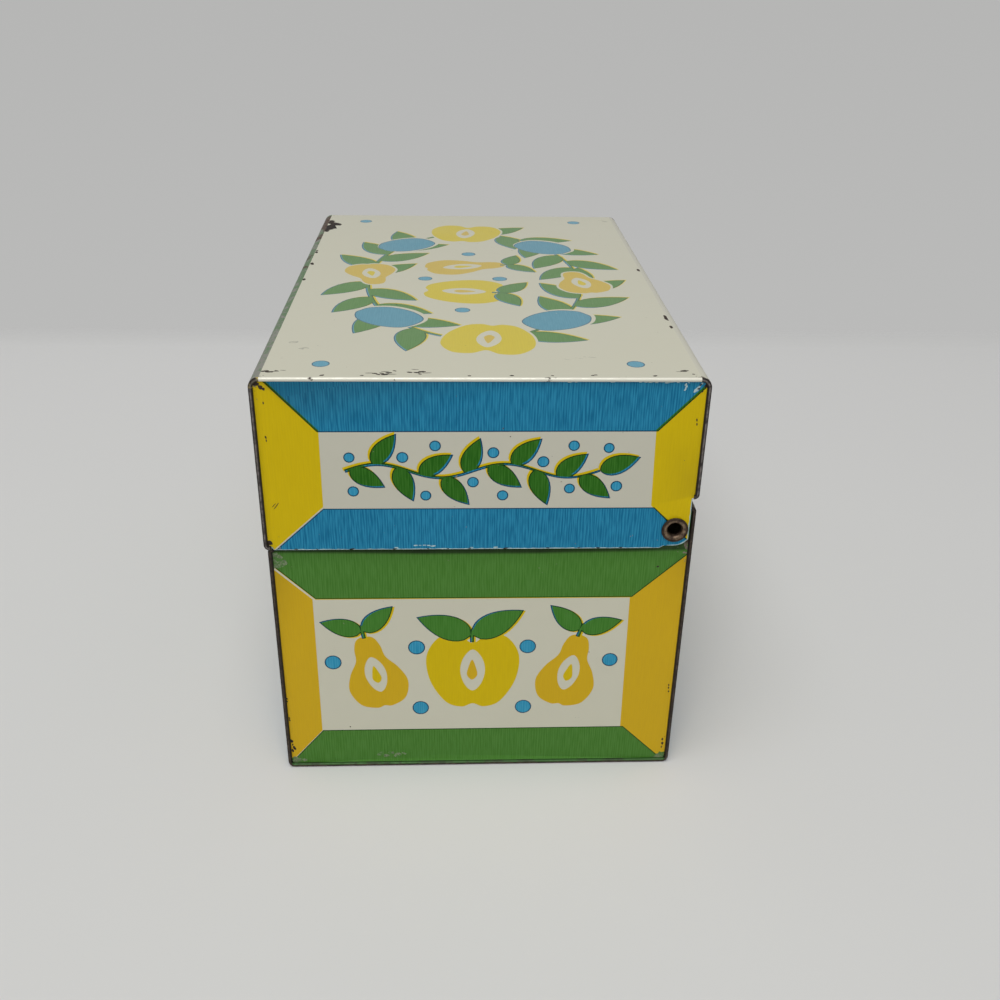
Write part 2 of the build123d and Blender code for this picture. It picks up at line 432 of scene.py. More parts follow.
def inset(outline, by):
    """An outline drawn in by an even margin."""
    points = [Vector(p) for p in anticlockwise(outline)]
    made = []
    for before, here, after in zip(points[-1:] + points[:-1], points, points[1:] + points[:1]):
        one, other = (here - before).normalized(), (after - here).normalized()
        inward = Vector((-one.y - other.y, one.x + other.x))
        if inward.length < 0.1:
            inward = Vector((-one.y, one.x)) - one
        reach = min(2.5, 2 / inward.length) * by
        made.append(tuple(here + inward.normalized() * reach))
    return made


def smooth_loop(corners, steps):
    """Closed curve through a few points."""
    made, count = [], len(corners)
    for i in range(count):
        a, b, c, d = (Vector(corners[(i + k) % count]) for k in (-1, 0, 1, 2))
        for step in range(steps):
            t = step / steps
            square = (2 * a - 5 * b + 4 * c - d) * t**2
            point = 2 * b + (c - a) * t + square + (3 * b - a - 3 * c + d) * t**3
            made.append(tuple(point / 2))
    return made


def symmetric(half, steps=6):
    """A smooth symmetric outline from its right half, listed from the top down."""
    return smooth_loop(half + [(-x, y) for x, y in reversed(half) if x > 0], steps)


# ---- growing outlines with Geometry Nodes


def turned(b, angle):
    return b.out("FunctionNodeEulerToRotation", {0: b.vector(0.0, 0.0, angle)})


def drawn(b, low, high, seed):
    """A random number for each point."""
    return b.put("FunctionNodeRandomValue", {2: low, 3: high, "Seed": seed}).outputs[1]


def disc(b, corners):
    feed = {"Vertices": corners, "Radius": 1.0}
    return b.geo("MeshCircle", feed, fill_type="NGON")


def copies(b, points, shape, rotation, scale):
    feed = {"Points": points, "Instance": shape, "Rotation": rotation, "Scale": scale}
    return b.geo("InstanceOnPoints", feed)


def real(b, geometry):
    return b.geo("RealizeInstances", {0: geometry})


def hand_over(b, geometry, ink):
    done = b.geo("SetMaterial", {"Geometry": geometry, "Material": ink})
    b.put("NodeGroupOutput", {0: done})


def growing_tree(name, sizes, counts):
    shape = {"Geometry": "Geometry"}
    inputs = shape | dict.fromkeys(sizes, "Float") | dict.fromkeys(counts, "Int") | {"Ink": "Material"}
    return new_tree(name, "GeometryNodeTree", inputs, shape)


def sprig_tree():
    """Leaves on alternate sides of a stem, one at its tip, and the stem as a strip."""
    sizes = ("Leaf Length", "Leaf Width", "Leaf Angle", "First Leaf", "Last Leaf", "Stem Width", "Unevenness")
    tree, b, given = growing_tree("leafy sprig", sizes, ("Leaves", "Seed"))
    stem = b.geo("MeshToCurve", {0: given["Geometry"]})
    # One leaf along X: widest a third of the way up, round at the foot and pointed at the tip
    px, py, _ = b.parts(b.geo("InputPosition"))
    up = b.times(b.plus(px, 1.0), 0.5)
    taper = b.math("SQRT", b.math("MAXIMUM", b.minus(1.0, up), 0.0))
    foot = b.math("POWER", b.math("MAXIMUM", up, 0.0001), 0.12)
    side = b.times(b.times(b.times(py, 0.72), b.times(taper, foot)), given["Leaf Width"])
    shape = b.vector(b.times(up, given["Leaf Length"]), side, 0.0)
    leaf = b.geo("SetPosition", {"Geometry": disc(b, 26), "Position": shape})
    # Leaves up the stem
    trim = {0: stem, 2: given["First Leaf"], 3: given["Last Leaf"]}
    bearing = b.geo("TrimCurve", trim, mode="FACTOR")
    nodes = b.put("GeometryNodeCurveToPoints", {"Curve": bearing, "Count": given["Leaves"]}, mode="COUNT")
    index = b.geo("InputIndex")
    turn = b.minus(b.times(b.math("MODULO", index, 2.0), 2.0), 1.0)
    tx, ty, _ = b.parts(nodes.outputs["Tangent"])
    heading = b.plus(b.math("ARCTAN2", ty, tx), b.times(turn, given["Leaf Angle"]))
    size = drawn(b, b.minus(1.0, given["Unevenness"]), 1.0, given["Seed"])
    scale = b.vector(size, b.times(size, turn), 1.0)
    leaves = copies(b, nodes.outputs["Points"], leaf, turned(b, heading), scale)
    tip = b.put("GeometryNodeSampleCurve", {"Curves": stem, "Factor": 1.0}, mode="FACTOR").outputs
    ax, ay, _ = b.parts(tip["Tangent"])
    aim = turned(b, b.math("ARCTAN2", ay, ax))
    feed = {"Geometry": leaf, "Translation": tip["Position"], "Rotation": aim}
    last = b.geo("Transform", feed)
    # Stem, thinner towards its tip
    along = b.put("GeometryNodeSplineParameter").outputs["Factor"]
    width = b.times(given["Stem Width"], b.minus(1.0, b.times(along, 0.35)))
    flat = b.geo("SetCurveNormal", {0: stem}, mode="Z_UP")
    sized = b.geo("SetCurveRadius", {"Curve": flat, "Radius": width})
    section = b.geo("CurvePrimitiveLine", {"Start": (-0.5, 0, 0), "End": (0.5, 0, 0)})
    feed = {"Curve": sized, "Profile Curve": section, "Scale": width}
    strip = b.geo("CurveToMesh", feed)
    joined = b.put("GeometryNodeJoinGeometry")
    for geometry in (leaves, last, strip):
        tree.links.new(geometry, joined.inputs[0])
    hand_over(b, real(b, joined.outputs["Geometry"]), given["Ink"])
    return tree


def spots_tree():
    """Uneven spots on points: berries, or chips in the print."""
    sizes = ("Smallest", "Largest", "Stretch", "Unevenness", "Direction", "Spread")
    tree, b, given = growing_tree("uneven spots", sizes, ("Seed",))
    size = drawn(b, given["Smallest"], given["Largest"], given["Seed"])
    least = b.times(given["Spread"], -0.5)
    turn = b.plus(given["Direction"], drawn(b, least, b.times(least, -1.0), given["Seed"]))
    scale = b.vector(b.times(size, given["Stretch"]), size, 1.0)
    made = real(b, copies(b, given["Geometry"], disc(b, 16), turned(b, turn), scale))
    place = b.geo("InputPosition")
    feed = {"Vector": place, "Scale": 1.7, "Detail": 2.0}
    drift = b.vectors("SUBTRACT", b.put("TexNoise", feed).outputs["Color"], (0.5, 0.5, 0.5))
    feed = {0: drift, "Scale": b.times(given["Unevenness"], given["Largest"])}
    shift = b.out("VectorMath", feed, operation="SCALE")
    rough = b.geo("SetPosition", {"Geometry": made, "Offset": shift})
    hand_over(b, rough, given["Ink"])
    return tree


SPRIG, SPOTS = sprig_tree(), spots_tree()


def stood(name, data):
    """Puts a mesh, light or camera into the scene."""
    made = bpy.data.objects.new(name, data)
    bpy.context.scene.collection.objects.link(made)
    return made


def grown(tree, points, edges, sizes):
    """The outlines that a tree makes from points and the edges between them."""
    start = bpy.data.meshes.new("start")
    start.from_pydata([(x, y, 0) for x, y in points], edges, [])
    holder = stood("holder", start)
    nodes = holder.modifiers.new("grow", "NODES")
    nodes.node_group = tree
    for socket in tree.interface.items_tree:
        if socket.in_out == "INPUT" and socket.name in sizes:
            nodes[socket.identifier] = sizes[socket.name]
    evaluated = holder.evaluated_get(bpy.context.evaluated_depsgraph_get())
    mesh = bpy.data.meshes.new_from_object(evaluated)
    bpy.data.objects.remove(holder)
    made = bmesh.new()
    made.from_mesh(mesh)
    bpy.data.meshes.remove(mesh)
    bpy.data.meshes.remove(start)
    rims = loops_of([tuple(e.verts) for e in made.edges if len(e.link_faces) == 1])
    outlines = [[(v.co.x, v.co.y) for v in rim] for rim in rims]
    made.free()
    return outlines


def sprig(points, leaves, length, width, angle, last, stem, seed):
    sizes = {"Leaves": leaves, "Leaf Length": length, "Leaf Width": width, "Leaf Angle": radians(angle)}
    sizes |= {"First Leaf": 0.02, "Last Leaf": last, "Stem Width": stem, "Unevenness": 0.08}
    sizes |= {"Seed": seed, "Ink": finishes["lid", "leaf"]}
    edges = [(i, i + 1) for i in range(len(points) - 1)]
    return [(LEAVES, "green", outline) for outline in grown(SPRIG, points, edges, sizes)]


def spots(layer, ink, seed, small, large, points, stretch=1.0, uneven=0.0, direction=0, spread=180):
    sizes = {"Smallest": small, "Largest": large, "Stretch": stretch, "Unevenness": uneven}
    sizes |= {"Direction": radians(direction), "Spread": radians(spread), "Seed": seed}
    sizes["Ink"] = finishes["lid", "blue"]
    return [(layer, ink, outline) for outline in grown(SPOTS, points, [], sizes)]


# ---- artwork

APPLE = symmetric([
    (0, 0.74), (0.3, 0.95), (0.72, 0.9), (1.0, 0.42), (0.93, -0.25), (0.6, -0.82), (0.25, -0.97), (0, -0.88),
])
PEAR = symmetric([
    (0, 1.2), (0.22, 1.12), (0.33, 0.85), (0.38, 0.5), (0.62, 0.12), (0.76, -0.35), (0.58, -0.84),
    (0.2, -1.02), (0, -0.98),
])
CORE = symmetric([(0, 0.56), (0.2, 0.34), (0.27, 0.0), (0.18, -0.36), (0, -0.54)], 4)
PIP = symmetric([(0, 0.3), (0.09, 0.06), (0.11, -0.12), (0, -0.24)], 4)
PLUM = symmetric([(0, 1.0), (0.5, 0.84), (0.76, 0.2), (0.68, -0.5), (0.32, -0.92), (0, -0.98)])
STALK_SHAPE = [
    (-0.4493, -1.175), (-0.3457, 0.6619), (0.0607, 2.4976), (0.9393, 2.3024), (0.5457, 0.5381),
    (0.4493, -1.225),
]
LEAF_STEPS = [(1, k / 12) for k in range(13)] + [(-1, k / 12) for k in range(11, 0, -1)]
LEAF = [(u, s * 0.72 * u**0.62 * (1 - u)) for s, u in LEAF_STEPS]

BANDS, LEAVES, MARGIN, FRUIT, FLESH, SEED, STALK, WEAR = range(8)


def fruit(shape, ink, at, size, turn=0.0):
    """A fruit with a pale margin, cut open to show its core and seed unless it is a plum."""
    outline = placed(shape, at, turn, size)
    made = [(MARGIN, "blank", inset(outline, -0.55)), (FRUIT, ink, outline)]
    if shape is not PLUM:
        made.append((FLESH, "blank", placed(CORE, at, turn, size)))
        made.append((SEED, "ochre" if ink == "yellow" else "yellow", placed(PIP, at, turn, size)))
    return made


def stalk_leaves(x, y, turn, length, spread=60):
    """Stalk of a fruit with a leaf to each side."""
    made = [(STALK, "green", placed(STALK_SHAPE, (x, y), turn))]
    node = placed([(0.1, 0.6)], (x, y), turn)[0]
    for side in (-1, 1):
        made.append((STALK, "green", placed(LEAF, node, turn + 90 - side * spread, length)))
    return made


def gaps_between(motifs, left, right, level, apart=6.6, clear=(1.9, 2.2)):
    """Points where a berry fits between leaves, from left to right."""
    taken = [Vector(point) for _, _, outline in motifs for point in outline]
    found = []
    for i in range(int((right - left) * 2)):
        for k in range(-11, 12):
            spot = Vector((left + i / 2, level + k / 2))
            if all((spot - other).length > apart for other in found):
                reach = min((spot - point).length for point in taken)
                covered = any(encloses(outline, *spot) for _, _, outline in motifs)
                if clear[0] < reach < clear[1] and not covered:
                    found.append(spot)
    return [tuple(spot) for spot in found]


def vine(left, right, level, waves, leaves, length, seed):
    """A winding vine with leaves and berries, the border on the lid's sides."""
    stem = []
    for i in range(100):
        t = i / 99
        stem.append((left + (right - 8 - left) * t, level + 1.5 * sin(tau * waves * t)))
    made = sprig(stem, leaves, length, 4.4, 50, 0.92, 0.8, seed)
    berries = gaps_between(made, left + 1, right - 3, level)
    return made + spots(FRUIT, "pale blue", seed, 1.1, 1.25, berries)


def orchard(x, y):
    """Cut apple between two pears, with berries, for the body's sides."""
    made = fruit(APPLE, "yellow", (x, y), 10.2) + stalk_leaves(x + 0.1, y + 8.8, 4, 13, 64)
    for side in (-1, 1):
        pear = x + side * 21.4
        made += fruit(PEAR, "ochre", (pear, y - 0.9), 8.8, side * -12)
        made += stalk_leaves(pear + side * 2.2, y + 10, side * -14, 9.5)
    berries = [(x - 12.2, y + 6.4), (x + 12.2, y + 6.4), (x - 11.6, y - 10.2), (x + 11.6, y - 10.2)]
    berries += [(x - 30.6, y + 2.6), (x + 30.6, y + 2.6)]
    return made + spots(FRUIT, "pale blue", 3, 1.75, 1.9, berries)


def pair_of_fruit(x, y):
    """Apple and pear side by side, for the body's long walls."""
    made = fruit(APPLE, "yellow", (x - 10, y), 9.8) + stalk_leaves(x - 9.9, y + 8.4, 4, 12, 64)
    made += fruit(PEAR, "ochre", (x + 11.5, y - 0.6), 8.6, -12) + stalk_leaves(x + 13.7, y + 10.1, -14, 9)
    berries = [(x + 1.2, y + 6.8), (x + 0.8, y - 9.6), (x - 22.6, y + 3.4), (x + 22.6, y + 4.6)]
    return made + spots(FRUIT, "pale blue", 7, 1.7, 1.85, berries + [(x + 21.8, y - 8.6)])


def mostly_shown(leaf, fruits):
    """Whether a leaf is clear of the fruit over it; a stem, with its many points, always stays."""
    outline = leaf[2]
    hidden = sum(any(encloses(shape, x, y) for _, _, shape in fruits) for x, y in outline)
    return len(outline) > 40 or hidden < 0.6 * len(outline)


def wreath():
    """Leafy wreath with fruit, for the lid's top."""
    leaves, fruits = [], []
    for side in (-1, 1):
        stem = []
        for i in range(70):
            a = radians(-88 + 172 * i / 69)
            stem.append((side * 46 * cos(a), 26 * sin(a)))
        leaves += sprig(stem, 17, 15.5, 7.4, 46, 0.95, 1.2, 6 + side)
    for x, y, shape, ink, size, turn in (
        (46, 2, APPLE, "yellow", 9.8, -96),
        (-46, -2, APPLE, "yellow", 9.8, 84),
        (4, 26, PEAR, "ochre", 8.4, 100),
        (-4, -26, PEAR, "ochre", 8.4, -80),
        (31, -19.5, PLUM, "blue", 8.2, -40),
        (-31, 19.5, PLUM, "blue", 8.2, 140),
        (-33, -18, PLUM, "blue", 8.2, 40),
        (33, 18, PLUM, "blue", 8.2, 215),
    ):
        fruits += fruit(shape, ink, (x, y), size, turn)
    made = [leaf for leaf in leaves if mostly_shown(leaf, fruits)] + fruits
    made += fruit(PEAR, "ochre", (-10.5, -3.2), 9.2, 12) + stalk_leaves(-12.8, 8.2, 14, 10)
    made += fruit(APPLE, "yellow", (11.5, -3), 9.6, -4) + stalk_leaves(12.2, 5.3, -8, 11.5)
    berries = [(0.4, 6.4), (0.4, -12), (-23.4, -1), (26, -3), (-61, 31), (61, -31), (-61, -31), (61, 31)]
    return made + spots(FRUIT, "pale blue", 4, 1.75, 1.9, berries)


def mitred_frame(inner, outer, uprights, crossbars, laps, reach=14.0):
    """Four mitred bands round a window. Corners run from the lower left anticlockwise, and at each
    one the crossbar laps over the upright or stops short of it."""
    made = []
    for ink, ends, across, up in (
        (uprights, (0, 3), -reach, 0), (uprights, (2, 1), reach, 0),
        (crossbars, (1, 0), 0, -reach), (crossbars, (3, 2), 0, reach),
    ):
        band = []
        for i in ends:
            (x0, y0), (x1, y1) = inner[i], outer[i]
            lap = 0 if across else laps[i] if i in (1, 2) else -laps[i]
            band.append([(x0 + lap, y0), (x1 + lap, y1), (x1 + lap + across, y1 + up)])
        made.append((BANDS, ink, band[0] + band[1][::-1]))
    return made


# Which plates print each colour
PLATES = {"green": ("yellow", "blue"), "flat green": ("yellow", "green")}
DARK_RIM = 0.23


def ink_over(printed):
    """The finish where these layers and plates lie over each other."""
    upper = max((layer for layer, _ in printed), default=None)
    plates = {plate for layer, plate in printed if layer == upper}
    for finish in ("chip", "scuff", "rub"):
        if finish in plates:
            return finish
    rim = "" if "core" in plates else " edge"
    if "pale blue" in plates:
        return "pale blue" if "core" in plates else "blue edge"
    if "blue" in plates:
        return ("leaf" if "yellow" in plates else "blue") + rim
    if "green" in plates:
        return "green" + rim
    return "ochre" if "ochre" in plates else "yellow" if "yellow" in plates else "cream"


def separated(motifs, register):
    """Motifs as plate outlines, each plate a little out of register, with a core inside each dark rim."""
    made = []
    for layer, ink, outline in motifs:
        for plate in PLATES.get(ink, (ink,)):
            shape = anticlockwise(placed(outline, register.get(plate, (0, 0))))
            made.append(((layer, plate), shape))
            if plate in ("blue", "pale blue", "green"):
                made.append(((layer, "core"), anticlockwise(inset(shape, DARK_RIM))))
    return made


# ---- laying print into a sheet's flat faces

FLAT, SAME_LEVEL, SAME_POINT = 0.9999, 2e-6, 1e-4


def lay_print(bm, axis, level, kind, plates, slot_of):
    """Cuts the flat faces at a level along the plates' outlines and gives each region its finish."""
    a, b = [i for i in range(3) if i != axis]

    def spot(v):
        return Vector((v.co[a] / MM, v.co[b] / MM))

    side = set()
    for f in bm.faces:
        if abs(f.normal[axis]) > FLAT and all(abs(v.co[axis] - level) < SAME_LEVEL for v in f.verts):
            side.add(f)
    outward = sum(f.normal[axis] * f.calc_area() for f in side) > 0
    rim = [e for e in {e for f in side for e in f.edges} if sum(f in side for f in e.link_faces) == 1]
    corners = list({v for e in rim for v in e.verts})
    number = {v: i for i, v in enumerate(corners)}
    points = [spot(v) for v in corners]
    lines = [tuple(number[v] for v in e.verts) for e in rim]
    ends = [tuple(e.verts) for e in rim]
    bmesh.ops.delete(bm, geom=list(side), context="FACES_KEEP_BOUNDARY")
    rings = [[tuple(points[i]) for i in loop] for loop in loops_of(lines)]
    boxes = []
    for name, outline in plates:
        first, count = len(points), len(outline)
        points += [Vector(p) for p in outline]
        lines += [(first + i, first + (i + 1) % count) for i in range(count)]
        xs, ys = zip(*outline)
        boxes.append((min(xs), max(xs), min(ys), max(ys), name, outline))
    cut = delaunay_2d_cdt(points, lines, [], 1, SAME_POINT, True)
    flat, edges, faces, came_from, edge_from, _ = cut
    verts = [next((corners[i] for i in ids if i < len(corners)), None) for ids in came_from]
    along = {}
    for edge, ids in zip(edges, edge_from):
        for line in (i for i in ids if i < len(ends)):
            along.setdefault(line, set()).update(v for v in edge if verts[v] is None)
    for line, new in along.items():
        start, end = ends[line]
        near, far = spot(start), spot(end)
        for v in sorted(new, key=lambda v: -(flat[v] - near).length):
            if verts[v] is None:
                edge = next(e for e in start.link_edges if e.other_vert(start) is end)
                share = (flat[v] - near).length / (far - near).length
                end = verts[v] = bmesh.utils.edge_split(edge, start, share)[1]
                far = spot(end)
    for i, point in enumerate(flat):
        if verts[i] is None:
            place = [level] * 3
            place[a], place[b] = point[0] * MM, point[1] * MM
            verts[i] = bm.verts.new(place)
    flip = outward == (axis == Y)
    for face in faces:
        x, y = sum((flat[v] for v in face), Vector((0, 0))) / len(face)
        ring = [verts[v] for v in face]
        if sum(encloses(r, x, y) for r in rings) % 2 == 0 or len(set(ring)) < 3:
            continue
        over = set()
        for x0, x1, y0, y1, name, shape in boxes:
            if x0 <= x <= x1 and y0 <= y <= y1 and encloses(shape, x, y):
                over.add(name)
        new = bm.faces.new(ring[::-1] if flip else ring)
        new.material_index = slot_of(kind, ink_over(over))


def smooth_mesh(bm, name, sharp):
    """A mesh of its own with round shading, but for edges sharper than this many degrees."""
    for face in bm.faces:
        face.smooth = True
    mesh = bpy.data.meshes.new(name)
    bm.to_mesh(mesh)
    bm.free()
    mesh.set_sharp_from_angle(angle=radians(sharp))
    return mesh


def face_level(node, axis, high):
    """Where a node's outermost broad flat side lies along an axis, at its high or low end."""
    totals = {}
    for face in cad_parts[node].data.polygons:
        if abs(face.normal[axis]) > FLAT and (face.normal[axis] > 0) == high:
            key = round(face.center[axis], 6)
            totals[key] = totals.get(key, 0) + face.area
    broad = [level for level, size in totals.items() if size > 0.3 * max(totals.values())]
    return max(broad) if high else min(broad)


def printed_sheet(name, node, body, part, finish_of, sides):
    """A packed sheet's copy with its finishes, and its print laid into its flat sides."""
    bm = bmesh.new()
    bm.from_mesh(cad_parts[node].data)
    bmesh.ops.remove_doubles(bm, verts=bm.verts, dist=1e-7)
    bm.normal_update()
    used = []

    def slot_of(kind, finish):
        if (kind, finish) not in used:
            used.append((kind, finish))
        return used.index((kind, finish))

    for face in bm.faces:
        face.material_index = slot_of(part, finish_of(face.calc_center_median() / MM, face.normal))
    for axis, high, kind, plates in sides:
        lay_print(bm, axis, face_level(node, axis, high), kind, plates, slot_of)
    bmesh.ops.delete(bm, geom=[v for v in bm.verts if not v.link_faces], context="VERTS")
    bm.normal_update()
    mesh = smooth_mesh(bm, name, 40)
    for finish in used:
        mesh.materials.append(finishes[finish])
    made = stood(name, mesh)
    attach(made, body)
    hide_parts(node)


# ---- printed designs for each side

SHIFT = {
    "lid": {"blue": (0.35, -0.4), "pale blue": (0.35, -0.4)},
    "body": {"blue": (-0.34, 0.04), "yellow": (0.03, -0.14), "ochre": (-0.12, -0.06), "pale blue": (-0.1, 0)},
}
LID_WINDOW = [(-31.85, 68.5), (34.8, 68.5), (34.45, 85.45), (-31.8, 85.35)]
LID_CORNERS = [(-46.2, 55.1), (47, 56.3), (47, 98.8), (-45.8, 100.6)]
BODY_WINDOW = [(-35.55, 10.3), (32.75, 10.35), (32.4, 45.7), (-35.5, 45.75)]
BODY_CORNERS = [(-45.6, -1.6), (44.9, -1.8), (46.4, 59), (-47.5, 57.6)]
LID_EDGE = [
    (43.2, 70.1), (43.2, 60.49), (42.49, 59.81), (41.64, 59.33), (40.69, 59.08), (38.27, 59.05),
    (37.28, 58.5), (-42.49, 58.5), (-43.9, 60),
]

# Marks of wear. Each row: finish, seed, smallest, largest, where, stretch, unevenness, direction, spread
LID_END_WEAR = [
    ("chip", 5, 0.1, 0.16, [(-41.9, 91.1), (-42.05, 83.9), (-42, 83.2), (42.3, 87.5), (42.4, 86.6)],
     2.2, 0.5, 90, 30),
    ("chip", 7, 0.25, 0.5, [(-43, 95), (-42.2, 94.3), (-41.6, 93.9), (43.3, 94.6), (-43.3, 60.2)],
     1.4, 1.2, -40, 60),
    ("chip", 2, 0.07, 0.1, [(-41.7, 68.9), (-41.4, 68.5), (-41.1, 68.9)], 8, 0.3, 52, 16),
    # Pale rubbed marks along the top edge and corner, partly a painted highlight.
    ("rub", 8, 0.06, 0.17, [(30.5 + 1.05 * k, 95.45 - 0.12 * sin(3 * k)) for k in range(11)]
     + [(25.2, 95.5), (17, 95.5), (18.1, 95.5)], 3.6, 0.9, 0, 16),
    ("rub", 18, 0.16, 0.28, [(42.5, 95.1), (42.2, 94.7), (41.9, 94.3), (41.7, 93.9), (41.3, 93.6),
     (39.4, 94.9), (39.5, 94.4), (39.4, 93.9)], 1.7, 1.6, 62, 30),
    ("chip", 19, 0.12, 0.24, [(42.3, 94.9), (42, 94.1), (42.7, 93.4)], 1.8, 1.2, 40, 90),
]
LID_EDGE_WEAR = [
    ("chip", 9, 0.08, 0.16, [(-38 + 6.3 * k + 2.1 * sin(5 * k), 58.66) for k in range(12)],
     3.5, 0.8, 0, 20),
    # Pale rubbed marks along the lower edge, partly a painted highlight.
    ("rub", 28, 0.08, 0.17, [(-17.4, 58.95), (-13.4, 59.4), (-12.5, 59.45), (-11.6, 59.45), (-10.7, 59.4),
     (-9.8, 59.25), (-1.8, 58.85), (3.1, 58.85)], 3.2, 1.3, 0, 14),
]
BODY_END_WEAR = [
    ("chip", 11, 0.1, 0.18, [(-43, 19.4), (-43, 18.6), (-42.9, 13.9), (-42.9, 13.3), (42.9, 22),
     (42.9, 21.2), (43, 20.2)], 1.8, 0.6, 90, 40),
    ("chip", 12, 0.16, 0.36, [(-42.9, 7.2), (-42.7, 6.2), (-42.4, 5.2), (-42.8, 4.4), (42.8, 6.3),
     (42.9, 5.1), (42.8, 4)], 1.9, 1.2, 100, 50),
    ("chip", 13, 0.12, 0.24, [(37.7, 53.3), (-29.3, 11.2)], 1.3, 0.8, 0, 90),
    ("scuff", 3, 0.45, 0.85, [(-42.7, 1.5), (-41.9, 1.2), (-40.6, 1), (42.7, 1.5), (42.1, 1.1),
     (40.9, 0.95), (43, 2.2), (-42.7, 56.4), (-42.2, 55.4), (-41.2, 54.6), (-42.4, 54.2),
     (-41.8, 56.2), (43.2, 60.5)], 1.4, 1.8, 20, 120),
    ("scuff", 6, 0.3, 0.6, [(-22.8, 3.1), (-21.4, 2.6), (-20.2, 3.3), (-18.8, 2.7), (-17.2, 3.1)],
     1.7, 1.8, 10, 60),
]
TOP_WEAR = [
    ("chip", 21, 0.18, 0.42, [(65.4, -41.6), (65.9, -40.7), (65.3, -39.4), (66.6, -20.5), (67.2, -19.8),
     (66.5, -19.2), (67.1, -18.5), (66.2, -17.9), (65.2, -16.8), (65.9, -13.9), (66.1, -12.6),
     (65.7, -11.6), (66.9, -11.9), (65, 39.6)], 2.2, 1.3, 84, 50),
    ("chip", 26, 0.09, 0.15, [(65.6, -40.1), (65, -38.2), (67, -17.2), (65.6, -18.6), (66.3, -10.6),
     (65.4, 38.4), (66.4, -21.6), (64.4, -12.9)], 6.5, 0.8, 88, 16),
    ("scuff", 27, 0.08, 0.14, [(58.6, 17.2), (57.9, 19.6), (57.3, 22)], 11, 0.7, 76, 10),
    ("chip", 22, 0.14, 0.34, [(67.7, -22.9), (67.6, -30.5), (67.8, -2.4), (67.7, 5.7), (67.6, 21.3),
     (67.3, 21.9), (67.7, 33.4), (66.8, 41), (67.7, 13.5)], 1.6, 1.2, 90, 80),
    ("chip", 23, 0.7, 1.7, [(-58.5, -41.5), (-57, -40.2), (-55.2, -40.8), (-53, -41.2),
     (-60.5, -41.6), (-51.2, -41.6), (-49, -41.9)], 1.7, 1.4, 20, 60),
    ("chip", 24, 0.2, 0.5, [(-25.8, -42), (-24, -41.9), (-12.5, -41.7), (2, -42), (30.6, 42),
     (32.4, 42.1), (38, 42), (-8, 42.1)], 2.6, 1.2, 0, 30),
    ("scuff", 25, 0.3, 0.7, [(52.4, -35.8), (48.6, -38.4), (-64, 39.5), (-62.6, 40.4)],
     1.8, 1.4, 80, 80),
]
BODY_CORNER_WEAR = [
    ("chip", 14, 0.6, 0.9, [(side * x, z) for side in (-1, 1)
     for x, z in ((67.2, 67), (66.7, 66.2), (67.1, 65.2), (66.9, 68))], 1.3, 1.2, 90, 60),
]


def worn(rows):
    return [mark for row in rows for mark in spots(WEAR, *row)]


def wall_window(side, low, high, across, down):
    """Inner and outer corners of a frame with even bands."""
    outer = [(-side, low), (side, low), (side, high), (-side, high)]
    return [(x - copysign(across, x), y + (down if y == low else -down)) for x, y in outer], outer


def rubbed_strip_and_highlight(points, width, seed):
    """Uneven pale strip along the lid's edge, where handling has rubbed the print away, partly a painted
    highlight on the edge.
    """
    rng = random.Random(seed)
    outside, inside = [], []
    for a, b in zip(points, points[1:]):
        a, b = Vector(a), Vector(b)
        inward = Vector((a.y - b.y, b.x - a.x)).normalized()
        if inward.dot(Vector((0, 77)) - a) < 0:
            inward.negate()
        count = max(1, round((b - a).length / 0.6))
        for i in range(count):
            here = a.lerp(b, i / count)
            outside.append(tuple(here - inward * 0.06))
            inside.append(tuple(here + inward * width * rng.uniform(0.45, 1.0)))
    return [(WEAR, "rub", outside + inside[::-1])]


def lid_end_print():
    motifs = mitred_frame(LID_WINDOW, LID_CORNERS, "yellow", "blue", (0.4, 0.4, 0.05, 0.62))
    motifs += vine(-27.5, 31.5, 76.9, 2, 11, 8.6, 2) + worn(LID_END_WEAR)
    motifs += rubbed_strip_and_highlight(LID_EDGE[:6], 0.26, 3) + rubbed_strip_and_highlight(LID_EDGE[5:], 0.24, 4)
    return separated(motifs + worn(LID_EDGE_WEAR), SHIFT["lid"])


def body_end_print():
    motifs = mitred_frame(BODY_WINDOW, BODY_CORNERS, "ochre", "flat green", (-0.05, 0.5, 0.34, -0.5))
    return separated(motifs + orchard(-1.5, 26.6) + worn(BODY_END_WEAR), SHIFT["body"])


def top_print():
    return separated(wreath() + worn(TOP_WEAR), SHIFT["lid"])


def lid_wall_print(low, high, band, leaf):
    inner, outer = wall_window(69.5, low, high, 14.5, band)
    motifs = mitred_frame(inner, outer, "ochre", "flat green", (0.3, 0.3, -0.3, -0.3))
    return separated(motifs + vine(-50, 50, (low + high) / 2, 4, 20, leaf, 9), SHIFT["body"])


def body_wall_print(high):
    inner, outer = wall_window(68.5, -0.5, high, 13.5, 11.5)
    motifs = mitred_frame(inner, outer, "yellow", "blue", (0.4, 0.35, 0.05, 0.42), reach=12.0)
    middle = high / 2 - 1.8
    motifs += pair_of_fruit(-26.5, middle) + pair_of_fruit(28.5, middle)
    return separated(motifs + worn(BODY_CORNER_WEAR), SHIFT["lid"])


# ---- pieces



def limits(node):
    """Lowest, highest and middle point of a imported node, in millimetres."""
    low, high = (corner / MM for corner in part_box(node))
    return low, high, (low + high) / 2


_, lid_high, lid_middle = limits("lid_wrap")
_, body_high, body_middle = limits("body_wrap")
# A seam's crest and flank, its corners at the lid's bends, the bends themselves, the body's rims
FOLD, RISE, SEAM_CORNER, BEND, RIM = 0.45, 0.7, 2.2, 2.3, 57.0


